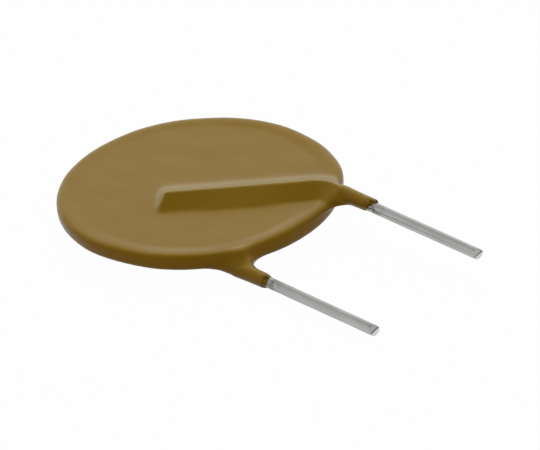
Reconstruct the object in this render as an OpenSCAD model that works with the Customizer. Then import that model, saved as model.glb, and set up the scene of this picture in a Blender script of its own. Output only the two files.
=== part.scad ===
// Resettable fuse: a round polymeric PTC disc with two radial leads, dipped in epoxy.
// The disc lies flat, +Z up, and the leads run out along -Y. The part looks the same after
// a half turn about the line midway between its leads, so each lower piece is its upper twin
// turned over. The origin is the centre of the overall box, at its underside.
// Millimetres and degrees.

/* [Coated disc] */
// Outside diameter of the coated disc
disc_d = 20.4; // [18:0.1:24]
// Thickness of the coated disc at its rounded rim
rim_t = 1.2; // [1.1:0.02:1.4]
// Thickness of the coated disc across its flat faces, a little less than at the rim
face_t = 1.06; // [0.9:0.02:1.08]
// Width of the shallow slope that joins each flat face to the thicker rim
rim_slope_w = 1.6; // [1:0.1:2.5]

/* [Polymer element] */
// Thickness of the conductive polymer disc
polymer_t = 0.4; // [0.3:0.02:0.44]
// Thickness of each metal foil electrode
foil_t = 0.05; // [0.04:0.01:0.08]
// Width of coating between the edge of the element and the outside of the disc
edge_cover = 0.75; // [0.6:0.05:1]

/* [Leads] */
// Diameter of the free lead, over its tin finish
lead_d = 0.81; // [0.7:0.01:0.9]
// Thickness of the tin finish, which fades out under the coating
tin_t = 0.01; // [0.005:0.005:0.02]
// Distance between the two leads, centre to centre
lead_pitch = 10.4; // [9.6:0.1:10.9]
// Bare length of each lead beyond the end of its coating
bare_length = 10.9; // [6:0.1:20]
// Length of wire that lies slantwise across the element, from its inner end to the bend
lay_length = 11; // [9:0.1:12]
// Angle between that slanted run and the free lead
lay_angle = 46; // [42:1:50]
// Radius of the bend, on the centre line of the wire
bend_r = 2.4; // [2:0.1:2.8]
// Distance of the bend's corner inside the rim, along the lead
bend_inset = 1.1; // [0.9:0.1:1.6]

/* [Solder joints] */
// Gap between the wire and its electrode, filled by solder
solder_gap = 0.03; // [0.02:0.01:0.05]
// Width of the solder joint on the electrode
solder_w = 1.9; // [1.6:0.1:2.2]
// Height of the solder joint above the electrode
solder_h = 0.56; // [0.46:0.02:0.66]
// Radius of the hollow sides of the solder joint
solder_hollow_r = 0.85; // [0.75:0.05:1]
// Distance that the solder runs past the inner end of the wire
solder_past_end = 0.45; // [0.3:0.05:0.6]
// Distance between the outer end of the solder and the start of the bend
solder_short = 0.9; // [0.6:0.1:1.5]

/* [Ridges and sleeves] */
// Thickness of the coating over the crest of the wire
crest_cover = 0.32; // [0.26:0.02:0.4]
// Distance from the crest to the foot of the ridge, on the side of the other lead
near_foot = 2.2; // [1.8:0.1:2.3]
// Distance from the crest to the foot of the ridge, on the side away from the other lead
far_foot = 2.3; // [1.8:0.1:2.3]
// Length of the ramp that the coating forms past the inner end of the wire
ramp_length = 1.2; // [1:0.1:2]
// Length of the coating on each lead beyond the lowest point of the disc
sleeve_run = 2.1; // [1.6:0.1:3]
// Thickness of the coating where the sleeve ends
sleeve_end_cover = 0.1; // [0.06:0.01:0.12]
// Length of the web on the side of the other lead, from the rim to where it meets the sleeve
near_web = 1.8; // [1.4:0.1:2.4]
// Height from the middle of the disc down to the underside of the web at the rim
chin_drop = 0.42; // [0.3:0.02:0.5]

/* [Smoothness] */
// Points around each section of a ridge
section_points = 32; // [24:4:40]
// Sections along each web and sleeve
sleeve_sections = 16; // [12:1:24]

/* [Hidden] */
$fn = 128;

disc_r = disc_d / 2;
lead_r = lead_d / 2;
wire_r = lead_r - tin_t;
half_pitch = lead_pitch / 2;
element_r = disc_r - edge_cover;
element_top = polymer_t / 2 + foil_t;
lead_z = element_top + solder_gap + wire_r;
crest_z = lead_z + wire_r + crest_cover;

// The lead's route in plan: a slanted run, a bend and a straight run to the tip. A place on it
// is its distance s along the wire from the inner end.
rim_y = sqrt(pow(disc_r, 2) - pow(half_pitch, 2));
bend_y = rim_y - bend_inset;
bend_reach = bend_r * tan(lay_angle / 2);
bend_start = lay_length - bend_reach;
bend_end = bend_start + bend_r * lay_angle * PI / 180;
straight_y = bend_y + bend_reach;
sleeve_end_y = disc_r + sleeve_run;
tip_y = sleeve_end_y + bare_length;
sleeve_end = bend_end + sleeve_end_y - straight_y;
lay_dir = [sin(lay_angle), -cos(lay_angle)];
lay_start = [half_pitch, -bend_y] - lay_length * lay_dir;
bend_centre = [half_pitch - bend_r, -straight_y];

// The outer foot of the ridge runs off the disc first, so it draws in ahead of the inner one.
rim_crossing = bend_end + rim_y - straight_y;
draw_lag = 1.2;
rim_margin = 0.2;
far_draw_start = bend_start - draw_lag;
far_draw_end = rim_crossing - rim_margin;
near_draw_start = bend_start + draw_lag;
near_draw_end = rim_crossing + near_web;

// A ridge starts a little under the face, so that its foot cuts the face cleanly. Its root lies
// inside the disc, and sinks to the underside of the web over the last stretch before the rim.
foot_sink = 0.02;
foot_z = face_t / 2 - foot_sink;
root_depth = 0.12;
root_run = 1;

// The coating drapes from the crest nearly straight on the near side, and more hollow on the far.
near_hollow = 1.2;
far_hollow = 1.6;

// The first section stands a little short of the ramp's end, where it would have no width.
ramp_share = 0.97;
ramp_sections = 6;
bend_sections = 9;

// Places of the centres of the solder's hollow sides, as shares of their radius: out from the
// joint's edge, and up from the electrode.
hollow_out = 0.45;
hollow_up = 0.95;

// The slope meets the rim's round just under its top, so that the two overlap cleanly.
rim_join = 0.995;

centre_of_box = [0, (tip_y - disc_r) / 2, crest_z];

function clamp01(x) = min(max(x, 0), 1);
function ease(x) = let (t = clamp01(x)) t * t * (3 - 2 * t);
function mix(a, b, t) = a + (b - a) * t;
function drape(x, hollow) = pow(1 - min(x, 1), hollow);

function heading(s) = lay_angle * (1 - clamp01((s - bend_start) / (bend_end - bend_start)));
function route(s) =
    s < bend_start ? lay_start + s * lay_dir
    : s < bend_end ? bend_centre + bend_r * [cos(heading(s)), sin(heading(s))]
    : [half_pitch, -straight_y - (s - bend_end)];
function near_side(s) = [-cos(heading(s)), -sin(heading(s))];

function cover(s) =
    mix(crest_cover, sleeve_end_cover, clamp01((s - bend_start) / (sleeve_end - bend_start)));
function far_draw(s) = ease((s - far_draw_start) / (far_draw_end - far_draw_start));
function near_draw(s) = ease((s - near_draw_start) / (near_draw_end - near_draw_start));
function root_z(s) =
    s < rim_crossing ? mix(root_depth, -chin_drop, ease((s - rim_crossing + root_run) / root_run))
    : mix(-chin_drop, lead_z - lead_r - cover(s), ease((s - rim_crossing) / near_web));

// One point of the section at s, a share x of the half width w from the crest. On the disc the
// upper side is a crest with hollow flanks, and as the foot draws in it rounds to the sleeve.
function upper_z(s, x, past, drawn, hollow) =
    let (
        ridge = mix(foot_z, crest_z, drape(norm([x * sqrt(1 - past * past), past]), hollow)),
        sleeve = lead_z + (lead_r + cover(s)) * sqrt(1 - x * x)
    ) mix(ridge, sleeve, drawn);
function lower_z(s, x, drawn) =
    let (widest = mix(foot_z, lead_z, drawn))
    widest - (widest - root_z(s)) * sqrt(1 - x * x);

function section(s) =
    let (
        past = clamp01(-s / ramp_length),
        half = section_points / 2,
        lead_cover_r = lead_r + cover(s)
    )
    [for (i = [0:section_points - 1])
        let (
            turn = 180 * i / half,
            x = cos(turn),
            near = x > 0,
            drawn = near ? near_draw(s) : far_draw(s),
            foot = mix(near ? near_foot : far_foot, lead_cover_r, drawn) * sqrt(1 - past * past),
            hollow = near ? near_hollow : far_hollow,
            z = i <= half ? upper_z(s, abs(x), past, drawn, hollow) : lower_z(s, abs(x), drawn),
            plan = route(s) + x * foot * near_side(s)
        )
        [plan.x, plan.y, z]];

ramp_steps = [for (i = [0:ramp_sections - 1]) -ramp_length * ramp_share * cos(90 * i / ramp_sections)];
lay_steps = [0, far_draw_start];
bend_steps = [for (i = [1:bend_sections]) mix(far_draw_start, bend_end, i / bend_sections)];
sleeve_steps = [for (i = [1:sleeve_sections]) mix(bend_end, sleeve_end, i / sleeve_sections)];

// A solid through a row of closed sections with the same number of points.
module loft(sections) {
    n = len(sections[0]);
    last = len(sections) - 1;
    polyhedron(
        points = [for (ring = sections) each ring],
        faces = concat(
            [[for (j = [n - 1:-1:0]) j]],
            [[for (j = [0:n - 1]) last * n + j]],
            [for (i = [0:last - 1], j = [0:n - 1])
                let (k = (j + 1) % n)
                each [[i * n + j, (i + 1) * n + k, (i + 1) * n + j],
                      [i * n + j, i * n + k, (i + 1) * n + k]]]
        )
    );
}

// Turns a piece of the upper side over to the lower side.
module turned_over() {
    rotate([0, 180, 0]) children();
}

// Moves a piece from the centre of the disc to the part's own origin.
module placed() {
    translate(centre_of_box) children();
}

// Draws a flat section, with its sides along the face and up, along the slanted run.
module along_lay(from, to) {
    start = lay_start + from * lay_dir;
    translate([start.x, start.y, 0])
        rotate([0, 0, -90 + lay_angle])
            rotate([90, 0, 90])
                linear_extrude(to - from) children();
}

module disc_body() {
    rim_r = rim_t / 2;
    slope_end = disc_r - rim_r;
    slope_start = slope_end - rim_slope_w;
    face_z = face_t / 2;
    rotate_extrude() {
        polygon([[0, -face_z], [slope_start, -face_z], [slope_end, -rim_r * rim_join],
                 [slope_end, rim_r * rim_join], [slope_start, face_z], [0, face_z]]);
        intersection() {
            translate([slope_end, 0]) circle(rim_r);
            translate([slope_start, -rim_r]) square([rim_slope_w + rim_t, rim_t]);
        }
    }
}

module ridge() {
    loft([for (s = concat(ramp_steps, lay_steps, bend_steps, sleeve_steps)) section(s)]);
}

module wire() {
    covered_run = sleeve_end_y - straight_y;
    translate([0, 0, lead_z]) {
        along_lay(0, bend_start) circle(wire_r);
        translate([bend_centre.x, bend_centre.y, 0])
            rotate_extrude(angle = lay_angle) translate([bend_r, 0]) circle(wire_r);
        translate([half_pitch, -straight_y, 0])
            rotate([90, 0, 0]) {
                cylinder(r1 = wire_r, r2 = lead_r, h = covered_run);
                translate([0, 0, covered_run]) cylinder(r = lead_r, h = bare_length);
            }
    }
}

module solder_profile() {
    hollow_x = solder_w / 2 + solder_hollow_r * hollow_out;
    difference() {
        translate([-solder_w / 2, element_top]) square([solder_w, solder_h]);
        for (side = [-1, 1])
            translate([side * hollow_x, element_top + solder_hollow_r * hollow_up])
                circle(solder_hollow_r);
    }
}

module solder() {
    difference() {
        along_lay(-solder_past_end, bend_start - solder_short) solder_profile();
        wire();
    }
}

module element() {
    cylinder(r = element_r, h = 2 * element_top, center = true);
}

module polymer_layer() {
    cylinder(r = element_r, h = polymer_t, center = true);
}

module electrode() {
    translate([0, 0, polymer_t / 2]) cylinder(r = element_r, h = foil_t);
}

module one_side_inside() {
    wire();
    solder();
}

module epoxy_coating() {
    color([0.55, 0.46, 0.27])
        placed()
            difference() {
                union() {
                    disc_body();
                    ridge();
                    turned_over() ridge();
                }
                element();
                one_side_inside();
                turned_over() one_side_inside();
            }
}

module polymer_disc() {
    color([0.12, 0.12, 0.13]) placed() polymer_layer();
}

module top_electrode() {
    color([0.76, 0.74, 0.68]) placed() electrode();
}

module bottom_electrode() {
    color([0.76, 0.74, 0.68]) placed() turned_over() electrode();
}

module top_lead() {
    color([0.72, 0.72, 0.71]) placed() wire();
}

module bottom_lead() {
    color([0.72, 0.72, 0.71]) placed() turned_over() wire();
}

module top_solder() {
    color([0.62, 0.63, 0.64]) placed() solder();
}

module bottom_solder() {
    color([0.62, 0.63, 0.64]) placed() turned_over() solder();
}

epoxy_coating();
polymer_disc();
top_electrode();
bottom_electrode();
top_lead();
bottom_lead();
top_solder();
bottom_solder();
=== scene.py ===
"""Looks for the resettable fuse: dipped epoxy coating, tinned leads, camera, floor and light.

The scene is in metres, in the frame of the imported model. The coating and the leads are worked out
in millimetres from the centre of the disc, along the same route that the solids follow, with
sizes from the frame's boxes. The lower lead follows the upper one's route turned half round the
y axis.
"""

import math
from itertools import product

import bpy
import numpy as np
from mathutils import Matrix, Vector


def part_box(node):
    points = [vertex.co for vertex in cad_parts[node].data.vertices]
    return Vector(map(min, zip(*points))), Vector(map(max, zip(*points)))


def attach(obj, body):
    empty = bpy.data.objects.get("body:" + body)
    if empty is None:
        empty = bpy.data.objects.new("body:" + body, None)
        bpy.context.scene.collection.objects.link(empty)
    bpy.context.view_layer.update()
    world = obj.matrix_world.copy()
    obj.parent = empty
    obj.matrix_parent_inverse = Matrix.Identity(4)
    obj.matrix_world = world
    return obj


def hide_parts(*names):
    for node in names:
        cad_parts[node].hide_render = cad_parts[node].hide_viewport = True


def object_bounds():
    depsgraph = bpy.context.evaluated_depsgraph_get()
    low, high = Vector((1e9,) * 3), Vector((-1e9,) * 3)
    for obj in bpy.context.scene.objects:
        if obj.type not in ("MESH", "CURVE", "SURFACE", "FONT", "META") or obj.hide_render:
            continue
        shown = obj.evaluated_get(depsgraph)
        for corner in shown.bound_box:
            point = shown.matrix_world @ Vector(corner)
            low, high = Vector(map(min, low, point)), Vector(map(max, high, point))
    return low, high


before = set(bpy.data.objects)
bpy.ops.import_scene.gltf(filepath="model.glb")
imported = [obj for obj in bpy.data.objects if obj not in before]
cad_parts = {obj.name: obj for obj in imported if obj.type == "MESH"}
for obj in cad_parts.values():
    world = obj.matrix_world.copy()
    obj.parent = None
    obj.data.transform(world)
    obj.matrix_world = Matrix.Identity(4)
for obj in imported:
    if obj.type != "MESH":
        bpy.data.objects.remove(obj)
cad_low, cad_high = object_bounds()

MM = 0.001

# ---------------------------------------------------------------------------------------------
# Sizes of the solids, in millimetres from the centre of the disc
# ---------------------------------------------------------------------------------------------

# Read off the frame's boxes
coat_low, coat_high = (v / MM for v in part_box("epoxy_coating"))
lead_low, lead_high = (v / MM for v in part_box("top_lead"))
DISC_R = (coat_high.x - coat_low.x) / 2
CENTRE = Vector((0, coat_high.y - DISC_R, (coat_low.z + coat_high.z) / 2))
CREST_Z = coat_high.z - CENTRE.z
SLEEVE_END = CENTRE.y - coat_low.y
TIP = CENTRE.y - lead_low.y
LEAD_R = (lead_high.z - lead_low.z) / 2
LEAD_Z = (lead_high.z + lead_low.z) / 2 - CENTRE.z
HALF_PITCH = lead_high.x - LEAD_R

# The same as in the solids, where the boxes don't show them
LAY_ANGLE = math.radians(46)
BEND_R = 2.4
TIN_THICKNESS = 0.01
RIM_HALF = 0.6
FACE_HALF = 0.53

# The route of the upper lead: straight across the disc, round a bend, then straight out
WIRE_R = LEAD_R - TIN_THICKNESS
LAY_DIR = np.array([math.sin(LAY_ANGLE), -math.cos(LAY_ANGLE)])
NEAR_SIDE = np.array([-math.cos(LAY_ANGLE), -math.sin(LAY_ANGLE)])
LAY_START = np.array(
    [
        lead_low.x + WIRE_R * math.cos(LAY_ANGLE),
        lead_high.y - CENTRE.y - WIRE_R * math.sin(LAY_ANGLE),
    ]
)
CORNER = LAY_START + LAY_DIR * (HALF_PITCH - LAY_START[0]) / LAY_DIR[0]
BEND_REACH = BEND_R * math.tan(LAY_ANGLE / 2)
BEND_START = float(np.linalg.norm(CORNER - LAY_START)) - BEND_REACH
BEND_LENGTH = BEND_R * LAY_ANGLE
BEND_CENTRE = np.array([HALF_PITCH - BEND_R, CORNER[1] - BEND_REACH])
BEND_END = BEND_START + BEND_LENGTH
SLEEVE_LENGTH = SLEEVE_END + BEND_CENTRE[1]
BARE_LENGTH = TIP - SLEEVE_END
LEAD_LENGTH = BEND_END + SLEEVE_LENGTH + BARE_LENGTH
RIM_Y = math.sqrt(DISC_R**2 - HALF_PITCH**2)


def route(s):
    """Plan position and heading on the centre line of a lead, s mm from its inner end."""
    if s < BEND_START:
        return LAY_START + s * LAY_DIR, LAY_DIR
    if s < BEND_END:
        turn = LAY_ANGLE * (1 - (s - BEND_START) / BEND_LENGTH)
        return (
            BEND_CENTRE + BEND_R * np.array([math.cos(turn), math.sin(turn)]),
            np.array([math.sin(turn), -math.cos(turn)]),
        )
    return np.array([HALF_PITCH, BEND_CENTRE[1] - (s - BEND_END)]), np.array([0.0, -1.0])


def along_and_off(x, y):
    """Distance along the lead's route, distance from it in plan, and side (+ towards its twin)."""
    dx, dy = x - LAY_START[0], y - LAY_START[1]
    lay_s = dx * LAY_DIR[0] + dy * LAY_DIR[1]
    lay_side = dx * NEAR_SIDE[0] + dy * NEAR_SIDE[1]
    lay_off = np.hypot(lay_side, np.maximum(lay_s - BEND_START, 0))

    bx, by = x - BEND_CENTRE[0], y - BEND_CENTRE[1]
    turn = np.clip(np.arctan2(by, bx), 0, LAY_ANGLE)
    bend_s = BEND_START + (LAY_ANGLE - turn) * BEND_R
    bend_side = BEND_R - np.hypot(bx, by)
    bend_off = np.hypot(bx - BEND_R * np.cos(turn), by - BEND_R * np.sin(turn))

    leg_s = BEND_END + np.maximum(-by, 0)
    leg_side = HALF_PITCH - x
    leg_off = np.hypot(x - HALF_PITCH, np.maximum(by, 0))

    nearest = np.argmin(np.stack([lay_off, bend_off, leg_off]), axis=0)
    pick = [nearest == 0, nearest == 1, nearest == 2]
    return (
        np.select(pick, [np.minimum(lay_s, BEND_START), bend_s, leg_s]),
        np.select(pick, [lay_off, bend_off, leg_off]),
        np.select(pick, [lay_side, bend_side, leg_side]),
    )


# ---------------------------------------------------------------------------------------------
# Small mathematical helpers, on arrays
# ---------------------------------------------------------------------------------------------


def ease(t):
    """From 0 to 1 with a soft start and a soft end."""
    t = np.clip(t, 0, 1)
    return t * t * (3 - 2 * t)


def mix(a, b, t):
    """From a to b as t goes from 0 to 1."""
    return a + (b - a) * t


def along(s, reach):
    """From 0 at the start of a reach to 1 at its end."""
    return ease((s - reach[0]) / (reach[1] - reach[0]))


def smooth_union(a, b, width):
    """The lower of two distances, with their crease rounded over the given width."""
    h = np.clip(0.5 + 0.5 * (b - a) / width, 0, 1)
    return mix(b, a, h) - width * h * (1 - h)


class Waves:
    """A smooth, seeded, random field: a sum of sine waves of about one wavelength."""

    COUNT = 14
    SPREAD = (0.7, 1.4)

    def __init__(self, seed, wavelength, flat=False):
        pick = np.random.default_rng(seed)
        way = pick.normal(size=(self.COUNT, 3))
        if flat:
            way[:, 2] = 0
        way /= np.linalg.norm(way, axis=1)[:, None]
        stretch = pick.uniform(*self.SPREAD, self.COUNT)
        self.k = way * (2 * math.pi / wavelength) * stretch[:, None]
        self.phase = pick.uniform(0, 2 * math.pi, self.COUNT)
        self.gain = 1 / math.sqrt(self.COUNT / 2)

    def __call__(self, x, y, z):
        total = np.zeros(np.broadcast(x, y, z).shape)
        for (kx, ky, kz), phase in zip(self.k, self.phase):
            total += np.sin(kx * x + ky * y + kz * z + phase)
        return total * self.gain


# ---------------------------------------------------------------------------------------------
# The coating's surface, as a distance field in millimetres from the centre of the disc
# ---------------------------------------------------------------------------------------------

# Room that keeps the uneven skin inside the solid coating
SKIN_ROOM = 0.012
OUTLINE_ROOM = 0.018

# The disc: its blunt rim, the thicker bead inside the rim, and how far its outline strays.
# Bumps are (place in degrees, width in degrees, height).
RIM_SQUARE = 3.0
BEAD_W = 1.0
BEAD_HEIGHT = 0.07
BEAD_SWAY = 0.05
BEAD_SWAY_TURN = 1.1
BEAD_BUMPS = ((-120, 14, -0.055), (-88, 14, 0.02), (-145, 12, 0.005), (-55, 12, -0.1))
OUTLINE_WAVE = 0.01
OUTLINE_BUMPS = (
    (64, 15, 0.11),
    (-4, 14, -0.125),
    (-39, 11, 0.18),
    (-88, 20, -0.14),
    (-168, 12, -0.13),
)
FACE_WAVE = 0.004
SKIN_WAVE = 0.3 * FACE_WAVE

# The ridge over a lead: slopes of its sides as stops of (distance from the crest, slope), on the
# side towards the twin lead at three places along the lead, and on the far side everywhere
RIDGE_H = CREST_Z - SKIN_ROOM - FACE_HALF
NEAR_INNER = ((0, 0.5), (0.5, 0.6), (1.3, 0.6), (2.0, 0.08), (3.2, 0))
NEAR_MIDDLE = ((0, 0.41), (1.75, 0.41), (2.05, 0.14), (2.6, 0.08), (3.8, 0))
NEAR_OUTER = ((0, 0.5), (0.3, 0.6), (1.45, 0.6), (1.75, 0.15), (2.2, 0.04), (3.2, 0))
FAR = ((0, 0.49), (3.5, 0), (3.7, 0))
SECTION_HALF = 4
SECTION_POINTS = 801
CREST_ROUNDING = 0.1
CREST_BLEND = 0.04
INNER_REACH = (0.5, 3.5)
OUTER_REACH = (6.0, 9.2)
FOOT_BLEND = 0.1

# What a height over the sloping ridge is divided by, to be nearer to a distance
DRAPE_SCALE = 1.1

# The ridge's inner end falls away past the lead's end, later on its near side
END_PAST = 0.3
END_SLANT = 0.25
END_STEEPNESS = 2.3

# Past the bend the ridge's underside lifts, and the ridge keeps inside the coated outline and fades
TENT_INSET = 0.12
TENT_BLEND = 0.4
TENT_BASE = 0.5
TENT_LIFT = (BEND_END - 1, BEND_END + 1)
TENT_FADE = (BEND_END + 0.7, BEND_END + 2.3)

# The web between the rim and the sleeve, which starts later on the side towards the twin lead
FAR_WEB_BLEND = 0.9
WEB_LAG = 0.7
WEB_FULL = BEND_END + 0.6
WEB_Z = 0.3
WEB_HALF = 0.6
SIDES_BLEND = 1.2

# The sleeve on the wire past the rim: its cover thins towards a rounded lip at its end. Further in,
# under the disc's coating, it narrows but still keeps the wire covered.
CREST_COVER = CREST_Z - LEAD_Z - WIRE_R
SLEEVE_END_COVER = 0.15
SLEEVE_THINNING = 1.5
SLEEVE_LIP = 0.55
LIP_DEPTH = 0.03
LIP_LIMIT = 1.3
SLEEVE_RISE = 0.7
SLEEVE_DIVE = 0.2
LEAST_COVER = 0.09
LEAST_FROM = 6.5
SHIFT_REACH = (BEND_START, BEND_END + 0.3)

# The sleeves' ragged ends: how far they reach past the full length, where the lip has thinned to
# nothing, the upper one's slant, the lower one's tongue, and ripples of (height, count, phase)
SLANT_REACH = 0.12
SLANT = 0.36
SLANT_WAY = 1.6
SLANT_RIPPLES = ((0.03, 3, 0.7), (0.07, 8, 2.1))
TONGUE_REACH = 0.03
TONGUE = 0.34
TONGUE_WAY = -2.44
TONGUE_SHARPNESS = 3
TONGUE_RIPPLES = ((-0.03, 5, 0), (-0.055, 9, 1.0))

outline_waves = Waves(11, 9.0, flat=True)
face_waves = Waves(3, 3.2, flat=True)
skin_waves = Waves(5, 0.9)


def rippled(around, short, ripples):
    """How far short of its full length a sleeve ends, with ripples round it."""
    for height, count, phase in ripples:
        short = short - height * np.sin(count * around + phase)
    return short


def slanted_end(around):
    """How far short the upper sleeve ends, with a slant."""
    short = -SLANT_REACH - SLANT * np.cos(around - SLANT_WAY)
    return rippled(around, short, SLANT_RIPPLES)


def tongued_end(around):
    """How far short the lower sleeve ends, with a tongue on one side."""
    facing = 0.5 + 0.5 * np.cos(around - TONGUE_WAY)
    return rippled(around, -TONGUE_REACH - TONGUE * facing**TONGUE_SHARPNESS, TONGUE_RIPPLES)


# What differs between the two leads' coatings: the sleeve's end, how far the sleeve shifts towards
# the twin lead and off the disc, how wide the web is on that side and how much it narrows above
# and below its middle, and the share by which the ridge's outer part is lower
UPPER_LEAD = {
    "end": slanted_end,
    "shift": (-0.085, 0.108),
    "web_blend": 2.0,
    "web_flatness": 0.75,
    "shyness": 0,
}
LOWER_LEAD = {
    "end": tongued_end,
    "shift": (0.045, -0.058),
    "web_blend": 2.1,
    "web_flatness": 0.1,
    "shyness": 0.25,
}


def bumps(around, places):
    """Rounded bumps round the disc, from the place and width in degrees and the height of each."""
    total = 0 * around
    for place, width, height in places:
        away = (np.degrees(around) - place + 180) % 360 - 180
        total = total + height * np.exp(-((away / width) ** 2))
    return total


def bead(x, y):
    """Height of the thicker edge of the coating over the flat face, which varies round the rim."""
    around = np.arctan2(y, x)
    height = BEAD_HEIGHT + BEAD_SWAY * np.cos(around + BEAD_SWAY_TURN)
    return height + bumps(around, BEAD_BUMPS)


def outline_radius(x, y):
    """The disc's radius, which strays a little from round as a dipped coating does."""
    waves = OUTLINE_WAVE * np.clip(outline_waves(x, y, 0 * x), -1, 1)
    return DISC_R - OUTLINE_ROOM + waves + bumps(np.arctan2(y, x), OUTLINE_BUMPS)


def disc_distance(x, y, z):
    """Distance to the coated disc: flat faces, a low bead inside the edge, a blunt rounded rim."""
    from_axis = np.hypot(x, y)
    core = outline_radius(x, y) - RIM_HALF
    raised = bead(x, y) * ease((from_axis - core + BEAD_W) / BEAD_W)
    out = np.maximum(from_axis - core, 0) / RIM_HALF
    up = np.abs(z) / (FACE_HALF + bead(x, y))
    rim = RIM_HALF * ((out**RIM_SQUARE + up**RIM_SQUARE) ** (1 / RIM_SQUARE) - 1)
    face = np.abs(z) - FACE_HALF - raised
    return np.where(from_axis > core, rim, face)


def ridge_section(near_slopes):
    """Offsets across the ridge and its share of full height there, from its sides' slopes."""
    offsets = np.linspace(-SECTION_HALF, SECTION_HALF, SECTION_POINTS)
    near = np.interp(offsets, *zip(*near_slopes)) * (offsets > 0)
    far = np.interp(-offsets, *zip(*FAR)) * (offsets < 0)
    spacing = offsets[1] - offsets[0]
    fall = np.cumsum(near - far) * spacing
    width = round(CREST_ROUNDING / spacing) * 2 + 1
    fall = np.convolve(np.pad(fall, width // 2, "edge"), np.ones(width) / width, "valid")
    top = fall.min()
    share = np.where(
        offsets > offsets[fall.argmin()],
        1 - (fall - top) / (fall[-1] - top),
        1 - (fall - top) / (fall[0] - top),
    )
    return offsets, share


INNER_SECTION = ridge_section(NEAR_INNER)
MIDDLE_SECTION = ridge_section(NEAR_MIDDLE)
OUTER_SECTION = ridge_section(NEAR_OUTER)


def height_share(s, offset):
    """Share of the ridge's height at an offset across it, from the section at s along the lead."""
    share = mix(
        np.interp(offset, *INNER_SECTION),
        np.interp(offset, *MIDDLE_SECTION),
        along(s, INNER_REACH),
    )
    return mix(share, np.interp(offset, *OUTER_SECTION), along(s, OUTER_REACH))


def draped(s, side, z, shyness):
    """Distance to the coating that drapes from the wire's crest, and round its inner end."""
    past = np.maximum(-s - END_PAST - END_SLANT * np.maximum(side, 0), 0)
    across = np.hypot(side, END_STEEPNESS * past)
    facing = ease(0.5 + 0.5 * side / (across + 1e-6))
    share = mix(height_share(s, -across), height_share(s, across), facing)
    share = share * (1 - shyness * along(s, OUTER_REACH)) * (1 - along(s, TENT_FADE))
    height = FACE_HALF + share * (RIDGE_H + FOOT_BLEND) - FOOT_BLEND
    base = TENT_BASE * along(s, TENT_LIFT)
    return np.maximum((z - height) / DRAPE_SCALE, base - z)


def sleeved(s, side, z, lead):
    """Distance to the sleeve on the wire past the rim: thinner at its ragged end, and inwards."""
    moved = along(s, SHIFT_REACH)
    side = side - lead["shift"][0] * moved
    up = z - LEAD_Z - lead["shift"][1] * moved
    end = BEND_END + SLEEVE_LENGTH - lead["end"](np.arctan2(up, side))
    left = np.clip((end - s) / (end - BEND_START), 0, 1)
    cover = mix(SLEEVE_END_COVER, CREST_COVER, left**SLEEVE_THINNING)
    cover = np.minimum(cover, CREST_COVER - np.maximum(lead["shift"][1] * moved, 0))
    lip = np.clip(1 + (s - end) / SLEEVE_LIP, 0, LIP_LIMIT)
    buried = np.maximum(BEND_END + SLEEVE_RISE - s, 0)
    radius = WIRE_R + cover - SKIN_ROOM - (cover + LIP_DEPTH) * lip**4 - SLEEVE_DIVE * buried
    thinnest = WIRE_R + LEAST_COVER - np.maximum(LEAST_FROM - s, 0)
    radius = np.where(s < BEND_END, np.maximum(radius, thinnest), radius)
    return np.hypot(side, up) - radius


def add_lead(body, x, y, z, lead):
    """The body with one coated lead: its sleeve, webbed to the rim, and its draped ridge."""
    s, off, side = along_and_off(x, y)
    off = np.hypot(off, np.maximum(-s, 0))
    near = ease(0.5 + side / SIDES_BLEND)
    webbed = along(s, (BEND_START + WEB_LAG * near, WEB_FULL))
    web = mix(FOOT_BLEND, mix(FAR_WEB_BLEND, lead["web_blend"], near), webbed)
    flat = web * (1 - lead["web_flatness"] * webbed * ease(np.abs(z - WEB_Z) / WEB_HALF))
    sleeve = sleeved(s, np.copysign(off, side), z, lead)
    plan = smooth_union(np.hypot(x, y) - DISC_R, off - WIRE_R - CREST_COVER, web)
    ridge = draped(s, side, z, lead["shyness"])
    tent = -smooth_union(-ridge, -TENT_INSET - plan, TENT_BLEND)
    return smooth_union(smooth_union(body, sleeve, flat), tent, FOOT_BLEND)


def coating_distance(x, y, z):
    """Distance to the whole coating, kept below the crests' height, with its slight waves."""
    shape = add_lead(disc_distance(x, y, z), x, y, z, UPPER_LEAD)
    shape = add_lead(shape, -x, y, -z, LOWER_LEAD)
    shape = -smooth_union(-shape, CREST_Z - SKIN_ROOM - np.abs(z), CREST_BLEND)
    return shape + FACE_WAVE * face_waves(x, y, z) + SKIN_WAVE * skin_waves(x, y, z)


# ---------------------------------------------------------------------------------------------
# A mesh on the zero of a distance field
# ---------------------------------------------------------------------------------------------

# The coating's grid: room round the shape, and finer cells round the leads
GRID_ROOM = 0.25
GRID_DEEP_ROOM = 0.2
GRID_END_ROOM = 0.9
GRID_COARSE = 0.135
GRID_FINE = 0.065
GRID_DEEP = 0.1
GRID_FINE_NEAR = HALF_PITCH - 1.1
GRID_FINE_FAR = HALF_PITCH + 0.9
GRID_FINE_Y = -RIM_Y + 0.4

# Vertices are pulled onto the surface in a few short steps
PULLS = 3
PROBE = 1e-3
LEAST_SLOPE = 0.05
LONGEST_PULL = 0.08


def cell_edges():
    """The two corners of each of a cell's twelve edges."""
    for axis in range(3):
        for corner in product((0, 1), repeat=3):
            if corner[axis] == 0:
                yield corner, tuple(c + (d == axis) for d, c in enumerate(corner))


def at_corner(corner, cells):
    """Slices that pick one corner of every cell from the grid's points."""
    return tuple(slice(c, c + n) for c, n in zip(corner, cells))


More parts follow.
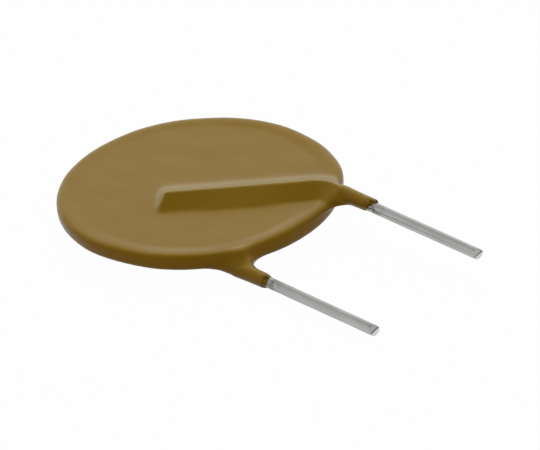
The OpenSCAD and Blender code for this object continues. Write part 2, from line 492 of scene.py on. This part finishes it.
def cell_vertices(grid, values):
    """A vertex for each cell that the surface crosses, and each cell's vertex number or -1."""
    cells = tuple(n - 1 for n in values.shape)
    total = np.zeros(cells + (3,))
    count = np.zeros(cells)
    for first, second in cell_edges():
        here, there = at_corner(first, cells), at_corner(second, cells)
        a, b = values[here], values[there]
        cross = (a < 0) != (b < 0)
        share = np.where(cross, a / np.where(cross, a - b, 1), 0)
        for c in range(3):
            total[..., c] += np.where(cross, mix(grid[c][here], grid[c][there], share), 0)
        count += cross
    used = count > 0
    index = np.full(cells, -1)
    index[used] = np.arange(int(used.sum()))
    return total[used] / count[used][:, None], index


def cell_quads(inside, index):
    """A quad round each grid line that crosses the surface, with its face outwards."""
    quads = []
    for axis in range(3):
        u, v = [d for d in range(3) if d != axis]
        low = tuple(slice(0 if d == axis else 1, n) for d, n in enumerate(index.shape))
        high = tuple(slice(1, n + (d == axis)) for d, n in enumerate(index.shape))
        spot = np.argwhere(inside[low] != inside[high])
        enters = inside[high][tuple(spot.T)]
        ring = []
        for du, dv in ((1, 1), (0, 1), (0, 0), (1, 0)):
            cell = spot + np.array([int(d != axis) for d in range(3)])
            cell[:, u] -= du
            cell[:, v] -= dv
            ring.append(index[tuple(cell.T)])
        quad = np.stack(ring, axis=1)
        flip = ~enters if axis == 1 else enters
        quad[flip] = quad[flip][:, ::-1]
        quads.append(quad)
    return np.concatenate(quads)


def pulled(field, points):
    """Points moved down the field's slope, onto its zero surface."""
    x, y, z = points.T
    here = field(x, y, z)
    ahead = (field(x + PROBE, y, z), field(x, y + PROBE, z), field(x, y, z + PROBE))
    slope = np.stack([value - here for value in ahead], axis=1) / PROBE
    steepness = np.maximum((slope**2).sum(axis=1), LEAST_SLOPE)
    pull = np.clip(here / steepness, -LONGEST_PULL, LONGEST_PULL)
    return points - pull[:, None] * slope


def surface_net(field, xs, ys, zs):
    """Vertices and quads of the field's zero surface on a box grid."""
    grid = np.meshgrid(xs, ys, zs, indexing="ij")
    values = field(*grid)
    points, index = cell_vertices(grid, values)
    quads = cell_quads(values < 0, index)
    for _ in range(PULLS):
        points = pulled(field, points)
    return points, quads


def graded(stops):
    """A row of coordinates through (end, spacing) stops, finer where the spacing is smaller."""
    row = [stops[0][0]]
    for (low, _), (high, spacing) in zip(stops, stops[1:]):
        steps = max(1, round((high - low) / spacing))
        row += [low + (high - low) * (i + 1) / steps for i in range(steps)]
    return np.array(row)


def mesh_object(name, points, faces):
    """A smooth-shaded object from points in millimetres about the disc's centre."""
    places = (np.asarray(points) + np.array(CENTRE)) * MM
    mesh = bpy.data.meshes.new(name)
    mesh.from_pydata(places.tolist(), [], [list(map(int, f)) for f in faces])
    mesh.validate()
    mesh.shade_smooth()
    obj = bpy.data.objects.new(name, mesh)
    bpy.context.collection.objects.link(obj)
    return obj


def make_coating():
    """The skin of the coating, on a grid that is finer round the leads past the rim."""
    edge = DISC_R + GRID_ROOM
    xs = graded(
        [
            (-edge, 0),
            (-GRID_FINE_FAR, GRID_COARSE),
            (-GRID_FINE_NEAR, GRID_FINE),
            (GRID_FINE_NEAR, GRID_COARSE),
            (GRID_FINE_FAR, GRID_FINE),
            (edge, GRID_COARSE),
        ]
    )
    ys = graded([(-SLEEVE_END - GRID_END_ROOM, 0), (GRID_FINE_Y, GRID_FINE), (edge, GRID_COARSE)])
    reach = CREST_Z + GRID_DEEP_ROOM
    zs = graded([(-reach, 0), (reach, GRID_DEEP)])
    points, quads = surface_net(coating_distance, xs, ys, zs)
    return mesh_object("coating_skin", points, quads)


# ---------------------------------------------------------------------------------------------
# Leads: round drawn wire with a thin, slightly uneven tin finish and a sheared end
# ---------------------------------------------------------------------------------------------

# Points round a ring, and the rings along the sleeved wire, the bare wire and its last stretch,
# where they crowd towards the cut end
RING = 56
AROUND = np.linspace(0, 2 * math.pi, RING, endpoint=False)
SLEEVED_RINGS = 60
SLEEVED_STOP = LEAD_LENGTH - BARE_LENGTH - 0.4
BARE_RINGS = 80
BARE_START = LEAD_LENGTH - BARE_LENGTH - 0.3
BARE_STOP = LEAD_LENGTH - 0.35
LAST_REACH = 0.3
LAST_SHARES = np.linspace(0.95, 0, 12)
LAST_CROWDING = 1.5

# The drawn surface, just inside the solid: coarse and fine waves as (height, wavelength, scale
# along the wire, scale round it)
SURFACE_ROOM = 0.004
DRAWN = ((0.0022, 2.2, 0.8, 1), (0.0012, 0.7, 0.15, 3))

# The sheared end: a slanted, slightly squeezed stretch, rings inside its cut face with ripples,
# a facet that the cutter pinched into one side, and a dark band of painted shade along that facet's
# edge
SHEAR_LENGTH = 0.5
SHEAR_SLOPE = 0.16
SHEAR_SQUEEZE = 0.07
SHEAR_SPREAD = 0.35
CUT_RINGS = np.linspace(0.9, 0.1, 9)
CUT_STEP = 0.006
RIPPLE = 0.012
RIPPLE_TURN = 2.2
FACET_WAY = math.radians(105)
FACET_EDGE = 0.06
FACET_SLOPE = 0.7
FACET_ROOM = 0.5
SHADE_BAND_REACH = (-0.08, 0.02)

# How a real lead drifts from the solid's straight line: one way past the sleeve, then back and
# over to the other side at its tip
DRIFT_WAY = (0.61, 0.78)
DRIFT_START = 9.0
DRIFT_PEAK = 12.0
DRIFT_HIGH = 0.075
DRIFT_LOW = -0.065


def drift(y):
    """How far a lead at y has strayed along its drift's way."""
    out = -y
    straying = ease((out - DRIFT_START) / (DRIFT_PEAK - DRIFT_START)) * DRIFT_HIGH
    sinking = np.clip((out - DRIFT_PEAK) / (TIP - DRIFT_PEAK), 0, 1) * (DRIFT_HIGH - DRIFT_LOW)
    return straying - sinking


def wire_stations():
    """Distances along a lead of its rings, closest together near its cut end."""
    sleeved_part = np.linspace(0, SLEEVED_STOP, SLEEVED_RINGS)
    bare_part = np.linspace(BARE_START, BARE_STOP, BARE_RINGS)
    last_part = LEAD_LENGTH - LAST_REACH * LAST_SHARES**LAST_CROWDING
    return [*sleeved_part, *bare_part, *last_part]


def drawn_surface(seed):
    """The waves of a lead's drawn surface, each with its height and scales."""
    return [
        (Waves(seed + n, wavelength), height, scale_along, scale_round)
        for n, (height, wavelength, scale_along, scale_round) in enumerate(DRAWN)
    ]


def unevenness(surface, s):
    """How far a lead's drawn surface stands out, round its ring at s."""
    total = 0
    for waves, height, scale_along, scale_round in surface:
        across, up = scale_round * np.cos(AROUND), scale_round * np.sin(AROUND)
        total = total + height * waves(s * scale_along, across, up)
    return total


def wire_ring(s, over, surface):
    """A ring of points round a lead at s; over is +1 for the upper lead and -1 for the lower."""
    tinned = min(1, max(0, (s - BEND_END) / SLEEVE_LENGTH))
    radius = mix(WIRE_R, LEAD_R, tinned) - SURFACE_ROOM + unevenness(surface, s)
    sheared = max(0, (s - LEAD_LENGTH + SHEAR_LENGTH) / SHEAR_LENGTH)
    squeeze = SHEAR_SQUEEZE * sheared**2
    across = radius * np.cos(AROUND) * (1 + SHEAR_SPREAD * squeeze)
    up = radius * np.sin(AROUND) * (1 - squeeze)
    slant = SHEAR_SLOPE * up * sheared
    (px, py), heading = route(s)
    x = px + heading[1] * across + heading[0] * slant
    y = py - heading[0] * across + heading[1] * slant
    stray = drift(y)
    x = x * over + DRIFT_WAY[0] * stray
    z = (LEAD_Z + up) * over + DRIFT_WAY[1] * stray
    return np.stack([x, np.maximum(y, -TIP), z], axis=1)


def cut_rings(rim):
    """Smaller and smaller rings inside the rim of the cut end, rippled as a sheared face is."""
    middle = rim.mean(axis=0)
    rings = []
    for n, share in enumerate(CUT_RINGS):
        ring = middle + (rim - middle) * share
        ring[:, 1] -= CUT_STEP if n == 0 else RIPPLE * math.sin(RIPPLE_TURN * n)
        ring[:, 1] = np.maximum(ring[:, 1], -TIP)
        rings.append(ring)
    return rings


def past_facet(points, middle):
    """How far points lie past the edge of the facet that the cutter pinched into a lead's end."""
    across = (points[:, 0] - middle[0]) * math.cos(FACET_WAY)
    upward = (points[:, 2] - middle[2]) * math.sin(FACET_WAY)
    return across + upward - FACET_EDGE


def pinch(points, middle):
    """Move points back from the tip where they lie past the facet's edge."""
    bevel = FACET_SLOPE * np.maximum(past_facet(points, middle), 0)
    room = np.maximum(FACET_ROOM - TIP - points[:, 1], 0)
    points[:, 1] += bevel * room / FACET_ROOM


def tube_faces(rings):
    """Quads between rings, a fan from the last ring to one more point, and a face on the first."""
    faces = []
    for start in range(0, (rings - 1) * RING, RING):
        for j in range(RING):
            k = (j + 1) % RING
            faces.append((start + RING + j, start + RING + k, start + k, start + j))
    centre = rings * RING
    for j in range(RING):
        faces.append((centre, centre - RING + (j + 1) % RING, centre - RING + j))
    faces.append(tuple(range(RING)))
    return faces


def cut_finish(past):
    """The finish of a face of the cut end: 0 for tin on the facet, 1 for the cut, 2 for the painted
    shade along the facet's edge.
    """
    if past < SHADE_BAND_REACH[0]:
        return 1
    if past < SHADE_BAND_REACH[1]:
        return 2
    return 0


def make_lead(name, seed, over, finish):
    """A lead along the route, finished with tin and, on its end, with its cut face and a band of
    painted shade along the facet's edge.
    """
    surface = drawn_surface(seed)
    rings = [wire_ring(s, over, surface) for s in wire_stations()]
    first_cut_face = (len(rings) - 1) * RING
    middle = rings[-1].mean(axis=0)
    rings += cut_rings(rings[-1])
    points = np.concatenate([*rings, middle[None]])
    pinch(points, middle)
    wire = mesh_object(name, points, tube_faces(len(rings)))
    wear(wire, *finish)
    for polygon in wire.data.polygons[first_cut_face:-1]:
        past = past_facet(np.array([polygon.center / MM - CENTRE]), middle)[0]
        polygon.material_index = cut_finish(past)
    return wire


# ---------------------------------------------------------------------------------------------
# Materials
# ---------------------------------------------------------------------------------------------


def srgb(r, g, b):
    """A linear colour, with alpha, from 8-bit sRGB values."""

    def straight(c):
        c /= 255
        return c / 12.92 if c <= 0.04045 else ((c + 0.055) / 1.055) ** 2.4

    return (straight(r), straight(g), straight(b), 1.0)


def wear(obj, *materials):
    """Give an object these materials and no others."""
    obj.data.materials.clear()
    for material in materials:
        obj.data.materials.append(material)


class Nodes:
    """A short way to build the node tree of a material or a world."""

    def __init__(self, owner, output):
        self.owner = owner
        owner.use_nodes = True
        self.tree = owner.node_tree
        self.tree.nodes.clear()
        self.out = self.tree.nodes.new(output)

    def add(self, kind, inputs=None, **settings):
        node = self.tree.nodes.new(kind)
        for key, value in settings.items():
            setattr(node, key, value)
        for key, value in (inputs or {}).items():
            self.put(node.inputs[key], value)
        return node

    def put(self, socket, value):
        if isinstance(value, bpy.types.NodeSocket):
            self.tree.links.new(value, socket)
        else:
            socket.default_value = value

    def finish(self, shader):
        """The owner, with a shader on its surface."""
        self.put(self.out.inputs["Surface"], shader.outputs[0])
        return self.owner

    def maths(self, operation, a, b, clamp=False):
        node = self.add("ShaderNodeMath", {0: a, 1: b}, operation=operation, use_clamp=clamp)
        return node.outputs[0]

    def blend(self, share, a, b):
        """A mix of two colours, which are the node's inputs 6 and 7 and its output 2."""
        node = self.add("ShaderNodeMix", data_type="RGBA")
        self.put(node.inputs[0], share)
        self.put(node.inputs[6], a)
        self.put(node.inputs[7], b)
        return node.outputs[2]

    def place(self):
        """Object coordinates in millimetres."""
        at = self.add("ShaderNodeTexCoord").outputs["Object"]
        scale = self.add("ShaderNodeVectorMath", {0: at}, operation="SCALE")
        scale.inputs["Scale"].default_value = 1 / MM
        return scale.outputs[0]

    def by_sleeve_end(self, at, inner, outer):
        """From 0 to 1 between two distances, in mm, that are measured in from the sleeves' ends."""
        apart = self.add("ShaderNodeSeparateXYZ", {"Vector": at})
        return self.ramp(apart.outputs["Y"], coat_low.y + inner, coat_low.y + outer)

    def noise(self, at, scale, detail=3.0, rough=0.5, stretch=None):
        if stretch:
            at = self.add("ShaderNodeMapping", {"Vector": at, "Scale": stretch}).outputs[0]
        node = self.add(
            "ShaderNodeTexNoise",
            {"Vector": at, "Scale": scale, "Detail": detail, "Roughness": rough},
        )
        return node.outputs["Fac"]

    def ramp(self, value, low, high, to_low=0.0, to_high=1.0):
        """A value that runs from one level to another between two levels of its input."""
        reach = {"From Min": low, "From Max": high, "To Min": to_low, "To Max": to_high}
        return self.add("ShaderNodeMapRange", {"Value": value, **reach}).outputs[0]

    def bump(self, height, distance, normal=None):
        node = self.add("ShaderNodeBump", {"Distance": distance, "Height": height})
        if normal is not None:
            self.put(node.inputs["Normal"], normal)
        return node.outputs[0]


def material_nodes(name):
    """The empty node tree of a new material."""
    return Nodes(bpy.data.materials.new(name), "ShaderNodeOutputMaterial")


# Epoxy: ochre with faint clouds, grain and specks, and dark patches of painted shade at the
# sleeves' ends, where their ragged edges stand off the wire
OCHRE = (0.207, 0.123, 0.007, 1)
OCHRE_CLOUD = (0.2, 0.118, 0.0066, 1)
OCHRE_GRAIN = (0.19, 0.111, 0.006, 1)
OCHRE_SPECK = srgb(96, 72, 20)
END_SHADE_COLOUR = srgb(48, 30, 6)
END_SHADE_REACH = (0.45, -0.05)
END_SHADE = 0.75
EPOXY_SHEEN = (0.6, 1.0, 0.7, 1.0)
EPOXY_SHINE = (1.0, 0.25, 0.03, 1.0)
PEEL_DEPTH = 0.003 * MM
FINE_DEPTH = 0.0003 * MM

# Tin: pale grey with blotches and streaks along the wire, and darker patches of painted shade just
# past the sleeves' ends
TIN_TONE = (0.62, 0.62, 0.61, 1)
TIN_BLOTCH = (0.53, 0.53, 0.52, 1)
TIN_STREAK = (0.44, 0.44, 0.432, 1)
JUNCTION_SHADE_COLOUR = (0.19, 0.175, 0.15, 1)
JUNCTION_SHADE_REACH = (-1.7, -0.8)
JUNCTION_SHADE = 0.7
STREAK_DEPTH = 0.003 * MM

# The pieces under the coating: a mottled polymer, and metals with tones of their own
POLYMER_TONES = ((0.01, 0.01, 0.011, 1), (0.03, 0.03, 0.032, 1))
POLYMER_DEPTH = 0.003 * MM
METAL_DEPTH = 0.002 * MM


def epoxy_material():
    n = material_nodes("ochre_epoxy")
    at = n.place()
    cloud = n.noise(at, 0.35, 2.0)
    grain = n.noise(at, 5.0, 4.0, 0.6)
    speck = n.noise(at, 14.0, 2.0, 0.5)
    base = n.blend(n.ramp(cloud, 0.35, 0.65), OCHRE, OCHRE_CLOUD)
    base = n.blend(n.ramp(grain, 0.3, 0.75, to_high=0.15), base, OCHRE_GRAIN)
    base = n.blend(n.ramp(speck, 0.68, 0.8, to_high=0.15), base, OCHRE_SPECK)
    # Painted shade: dark patches on the coating near the sleeves' ends, for the gaps under their
    # ragged edges
    patches = n.ramp(n.noise(at, 3.5, 2.0), 0.42, 0.58)
    end_shaded = n.maths("MULTIPLY", n.by_sleeve_end(at, *END_SHADE_REACH), patches)
    base = n.blend(n.maths("MULTIPLY", end_shaded, END_SHADE), base, END_SHADE_COLOUR)
    peel = n.bump(n.noise(at, 1.6, 2.0, 0.4), PEEL_DEPTH)
    shader = n.add(
        "ShaderNodeBsdfPrincipled",
        {
            "Base Color": base,
            "Roughness": n.ramp(grain, 0.3, 0.7, 0.2, 0.25),
            "Normal": n.bump(n.noise(at, 9.0, 3.0, 0.55), FINE_DEPTH, peel),
        },
    )
    shader.inputs["IOR"].default_value = 1.5
    shader.inputs["Sheen Weight"].default_value = 0.08
    shader.inputs["Sheen Roughness"].default_value = 0.5
    shader.inputs["Sheen Tint"].default_value = EPOXY_SHEEN
    shader.inputs["Specular Tint"].default_value = EPOXY_SHINE
    return n.finish(shader)


def tin_material():
    n = material_nodes("tinned_copper")
    at = n.place()
    streak = n.noise(at, 9.0, 3.0, 0.6, stretch=(1.0, 0.03, 1.0))
    blotch = n.noise(at, 1.3, 3.0, 0.55, stretch=(1.0, 0.35, 1.0))
    tone = n.blend(n.ramp(blotch, 0.35, 0.7), TIN_TONE, TIN_BLOTCH)
    tone = n.blend(n.ramp(streak, 0.4, 0.7, to_high=0.25), tone, TIN_STREAK)
    # Painted shade: darker patches on the tin just past the sleeves' ends, under their ragged edges
    patches = n.ramp(n.noise(at, 3.0, 2.0), 0.42, 0.56)
    junction_shaded = n.maths("MULTIPLY", n.by_sleeve_end(at, *JUNCTION_SHADE_REACH), patches)
    tone = n.blend(n.maths("MULTIPLY", junction_shaded, JUNCTION_SHADE), tone, JUNCTION_SHADE_COLOUR)
    shader = n.add(
        "ShaderNodeBsdfPrincipled",
        {
            "Base Color": tone,
            "Roughness": n.ramp(blotch, 0.3, 0.7, 0.22, 0.34),
            "Normal": n.bump(streak, STREAK_DEPTH),
        },
    )
    shader.inputs["Metallic"].default_value = 1.0
    return n.finish(shader)


def plain_metal(name, light, dark, scale):
    """A metal that is mottled between two tones."""
    n = material_nodes(name)
    mottle = n.noise(n.place(), scale, 3.0, 0.6)
    shader = n.add(
        "ShaderNodeBsdfPrincipled",
        {
            "Base Color": n.blend(n.ramp(mottle, 0.3, 0.7), light, dark),
            "Roughness": n.ramp(mottle, 0.3, 0.7, 0.3, 0.5),
            "Normal": n.bump(mottle, METAL_DEPTH),
        },
    )
    shader.inputs["Metallic"].default_value = 1.0
    return n.finish(shader)


def polymer_material():
    n = material_nodes("carbon_filled_polymer")
    grain = n.noise(n.place(), 12.0, 4.0, 0.6)
    shader = n.add(
        "ShaderNodeBsdfPrincipled",
        {
            "Base Color": n.blend(n.ramp(grain, 0.3, 0.7), *POLYMER_TONES),
            "Roughness": n.ramp(grain, 0.3, 0.7, 0.55, 0.75),
            "Normal": n.bump(grain, POLYMER_DEPTH),
        },
    )
    return n.finish(shader)


# ---------------------------------------------------------------------------------------------
# The object
# ---------------------------------------------------------------------------------------------

coating = make_coating()
wear(coating, epoxy_material())
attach(coating, "root")
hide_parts("epoxy_coating")

tin = tin_material()
cut = plain_metal("sheared_end", (0.92, 0.92, 0.89, 1), (0.8, 0.8, 0.77, 1), 6.0)
# A dark metal that paints shade in a band along the edge of each cut end's pinched facet
lip = plain_metal("sheared_edge_shade", (0.17, 0.17, 0.15, 1), (0.1, 0.1, 0.085, 1), 6.0)
for name, node, seed, over in (
    ("upper_wire", "top_lead", 21, 1),
    ("lower_wire", "bottom_lead", 41, -1),
):
    wire = make_lead(name, seed, over, (tin, cut, lip))
    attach(wire, "root")
    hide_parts(node)

foil = plain_metal("nickel_foil", (0.6, 0.57, 0.5, 1), (0.5, 0.47, 0.41, 1), 3.0)
solder = plain_metal("solder", (0.45, 0.46, 0.47, 1), (0.34, 0.35, 0.36, 1), 4.0)
polymer = polymer_material()
for node, material in (
    ("polymer_disc", polymer),
    ("top_electrode", foil),
    ("bottom_electrode", foil),
    ("top_solder", solder),
    ("bottom_solder", solder),
):
    wear(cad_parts[node], material)

# ---------------------------------------------------------------------------------------------
# Camera, floor and light
# ---------------------------------------------------------------------------------------------

# The camera: where it stands, how wide it sees at the part, and where it aims from the disc
VIEW_AZIMUTH = math.radians(-41.18)
VIEW_ELEVATION = math.radians(29.41)
VIEW_ROLL = math.radians(-5.92)
VIEW_DISTANCE = 0.95
VIEW_WIDTH = 38.437 * MM
AIM_RIGHT = 5.05 * MM
AIM_DOWN = 2.28 * MM
SENSOR_WIDTH = 36
CLIP_NEAR = 0.1
CLIP_FAR = 20

# The floor, how white it and the world look, and how much of the floor's white is mirrored
FLOOR_SIZE = 3
FLOOR_GAP = 0.02 * MM
FLOOR_TONES = ((0.37, 0.37, 0.37, 1), (0.39, 0.39, 0.39, 1))
FLOOR_WHITE = 0.985
FLOOR_GLOSS = 0.6
WHITE = (1, 1, 1, 1)

# The studio: its light by how far a direction turns to behind the part and to straight up, and
# the low backdrop behind the part that is mirrored as white
BEHIND = (0.658, 0.753, 0.0)
UPWARD = (0, 0, 1)
SIDE_LIGHT = (0.6, 0.72)
SKY_LIGHT = (1.0, 0.4)
SKY_DIMS = (0.6, 1.0)
BACKDROP_TOP = (0.25, 0.5)
BACKDROP_SIDE = (0.2, 0.8)

# The lamp: large and soft, high up on the far side
LAMP_PLACE = (0.504, 0.577, 0.643)
LAMP_SIZE = 0.9
LAMP_POWER = 9.2
LAMP_COLOUR = (0.97, 1.05, 1.0)


def make_camera():
    """A long lens above the front left, aimed so that the part fills the frame as it should."""
    outward = math.cos(VIEW_ELEVATION)
    back = Vector(
        (
            math.sin(VIEW_AZIMUTH) * outward,
            -math.cos(VIEW_AZIMUTH) * outward,
            math.sin(VIEW_ELEVATION),
        )
    )
    level = Vector((math.cos(VIEW_AZIMUTH), math.sin(VIEW_AZIMUTH), 0))
    upright = back.cross(level)
    right = math.cos(VIEW_ROLL) * level + math.sin(VIEW_ROLL) * upright
    up = math.cos(VIEW_ROLL) * upright - math.sin(VIEW_ROLL) * level
    data = bpy.data.cameras.new("camera")
    data.sensor_width = SENSOR_WIDTH
    data.lens = SENSOR_WIDTH * VIEW_DISTANCE / VIEW_WIDTH
    data.clip_start = CLIP_NEAR
    data.clip_end = CLIP_FAR
    camera = bpy.data.objects.new("camera", data)
    place = CENTRE * MM + AIM_RIGHT * right - AIM_DOWN * up + VIEW_DISTANCE * back
    turn = Matrix((right, up, back)).transposed().to_4x4()
    camera.matrix_world = Matrix.Translation(place) @ turn
    bpy.context.collection.objects.link(camera)
    bpy.context.scene.camera = camera


def make_floor():
    """A pale floor that the camera and gloss see as white, with a faint shadow, from above only."""
    bpy.ops.mesh.primitive_plane_add(size=FLOOR_SIZE, location=(0, 0, cad_low.z - FLOOR_GAP))
    floor = bpy.context.object
    floor.name = "floor"
    n = material_nodes("pale_floor")
    tone = n.blend(n.noise(n.place(), 0.05, 2.0), *FLOOR_TONES)
    real = n.add("ShaderNodeBsdfDiffuse", {"Color": tone})
    white = n.add("ShaderNodeEmission", {"Color": WHITE, "Strength": 1.0})
    path = n.add("ShaderNodeLightPath").outputs
    gloss = n.maths("MULTIPLY", path["Is Glossy Ray"], FLOOR_GLOSS)
    seen = n.maths("ADD", path["Is Camera Ray"], path["Is Transmission Ray"])
    share = n.maths("MULTIPLY", n.maths("ADD", seen, gloss, clamp=True), FLOOR_WHITE)
    above = n.add("ShaderNodeMixShader", {0: share, 1: real.outputs[0], 2: white.outputs[0]})
    under = n.add("ShaderNodeBsdfTransparent")
    back = n.add("ShaderNodeNewGeometry").outputs["Backfacing"]
    both = n.add("ShaderNodeMixShader", {0: back, 1: above.outputs[0], 2: under.outputs[0]})
    wear(floor, n.finish(both))


def soft_light(name, place, aim, size, power):
    """A round lamp that lights the part but isn't mirrored in it."""
    data = bpy.data.lights.new(name, "AREA")
    data.shape = "DISK"
    data.size = size
    data.energy = power
    data.color = LAMP_COLOUR
    light = bpy.data.objects.new(name, data)
    light.location = place
    light.rotation_mode = "QUATERNION"
    light.rotation_quaternion = (Vector(aim) - Vector(place)).to_track_quat("-Z", "Y")
    light.visible_glossy = False
    bpy.context.collection.objects.link(light)


def make_world():
    """A studio, brightest low down and behind the part, that the camera sees as plain white."""
    world = bpy.data.worlds.new("studio")
    bpy.context.scene.world = world
    n = Nodes(world, "ShaderNodeOutputWorld")
    at = n.add("ShaderNodeTexCoord").outputs["Generated"]

    def turned(way):
        """How far the direction turns towards a given way, from -1 to 1."""
        node = n.add("ShaderNodeVectorMath", {0: at, 1: way}, operation="DOT_PRODUCT")
        return node.outputs["Value"]

    side = n.ramp(turned(BEHIND), -1, 1, *SIDE_LIGHT)
    sky = n.ramp(turned(UPWARD), *SKY_DIMS, *SKY_LIGHT)
    low = n.ramp(turned(UPWARD), *BACKDROP_TOP, 1, 0)
    behind = n.ramp(turned(BEHIND), *BACKDROP_SIDE)
    path = n.add("ShaderNodeLightPath").outputs
    mirrored = n.maths("MULTIPLY", path["Is Glossy Ray"], n.maths("MULTIPLY", low, behind))
    straight = n.maths("ADD", path["Is Camera Ray"], path["Is Transmission Ray"])
    seen = n.maths("ADD", straight, mirrored)
    strength = n.maths("MULTIPLY", side, sky)
    studio = n.add("ShaderNodeBackground", {"Color": WHITE, "Strength": strength})
    white = n.add("ShaderNodeBackground", {"Color": WHITE, "Strength": FLOOR_WHITE})
    n.finish(n.add("ShaderNodeMixShader", {0: seen, 1: studio.outputs[0], 2: white.outputs[0]}))


make_camera()
make_floor()
make_world()
soft_light("overhead", LAMP_PLACE, (0, 0, 0), LAMP_SIZE, LAMP_POWER)
bpy.context.scene.view_settings.view_transform = "Standard"
